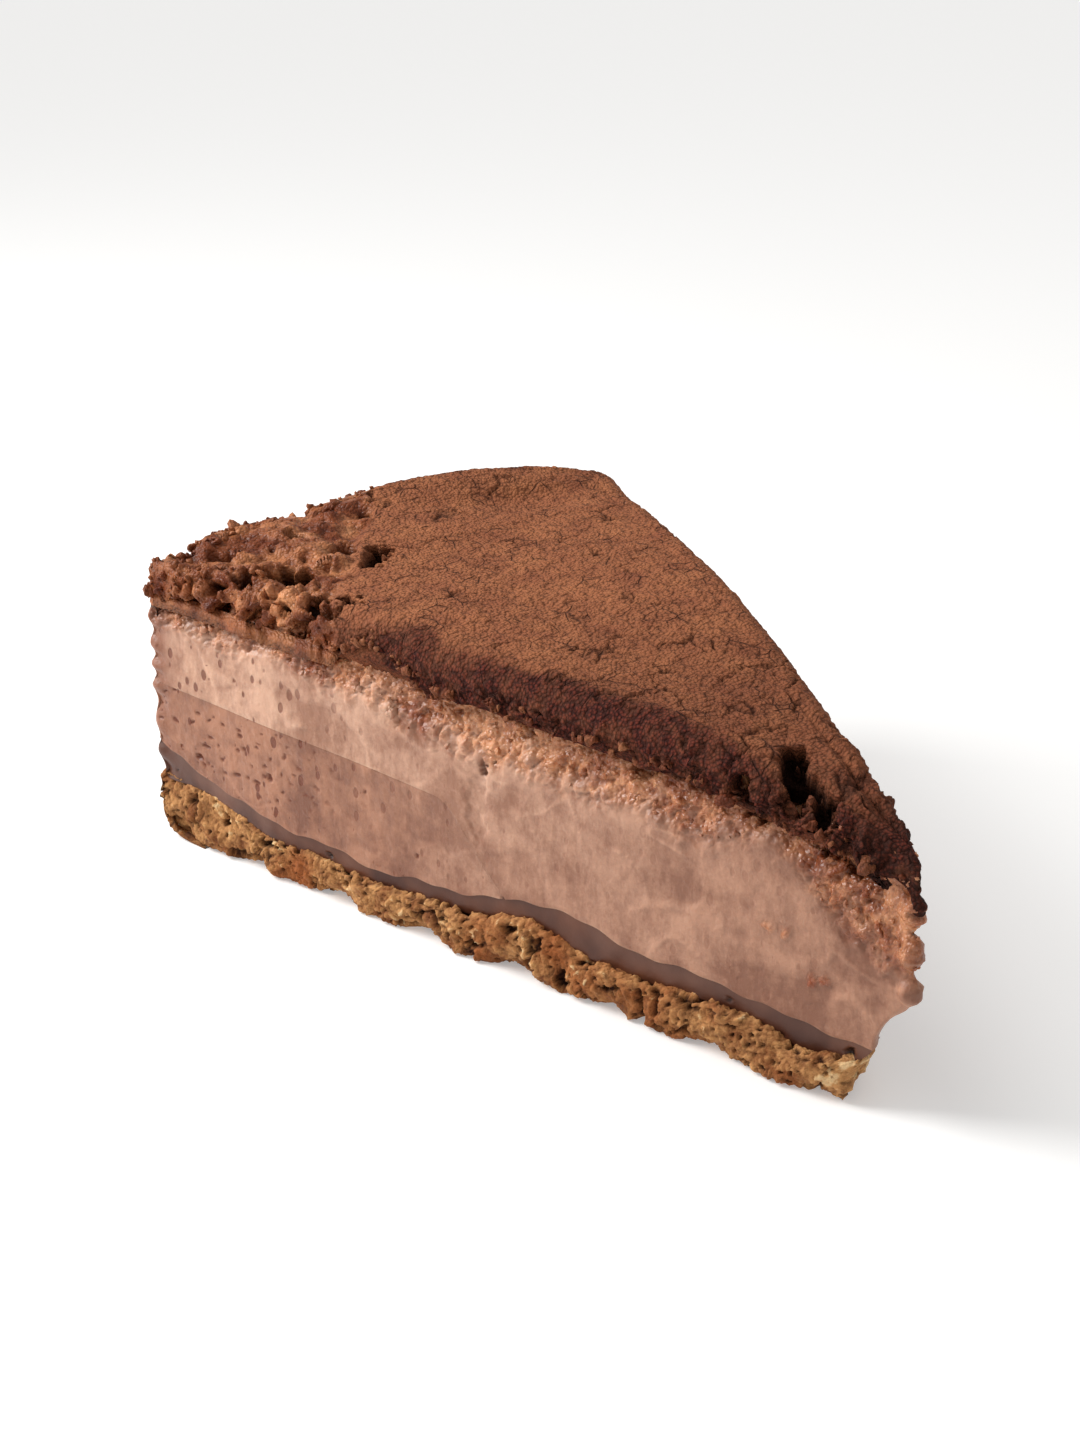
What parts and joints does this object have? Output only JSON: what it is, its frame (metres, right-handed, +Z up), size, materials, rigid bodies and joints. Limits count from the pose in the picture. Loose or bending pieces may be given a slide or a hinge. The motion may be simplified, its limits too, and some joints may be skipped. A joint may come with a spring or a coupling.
{
  "type": "chocolate basque cake slice",
  "caption": "Wedge slice of a baked chocolate mousse cake: crumb base, ganache sheet, two mousse layers and a cocoa-dusted crust broken at the rim and the point.",
  "frame": {"origin": "centre of the slice's bounding box, on its flat underside", "axes": "+X from the baked rim to the point of the slice, +Y towards the far cut face, +Z up through the layers"},
  "size_m": [0.1007, 0.0613, 0.0359],
  "materials": {
    "crumb_base": "matt, porous baked biscuit crumb, golden to dark brown",
    "ganache": "smooth set chocolate ganache, soft satin, greyish brown",
    "dark_mousse": "set mousse with small air bubbles, satin, milk-chocolate brown",
    "light_mousse": "set mousse, satin and pinkish beige on the cuts, with a matt cocoa-dusted baked crust on top"
  },
  "bodies": {
    "root": {"crumb_base": "crumb_base", "ganache_layer": "ganache", "dark_mousse": "dark_mousse", "light_mousse": "light_mousse"}
  },
  "joints": []
}
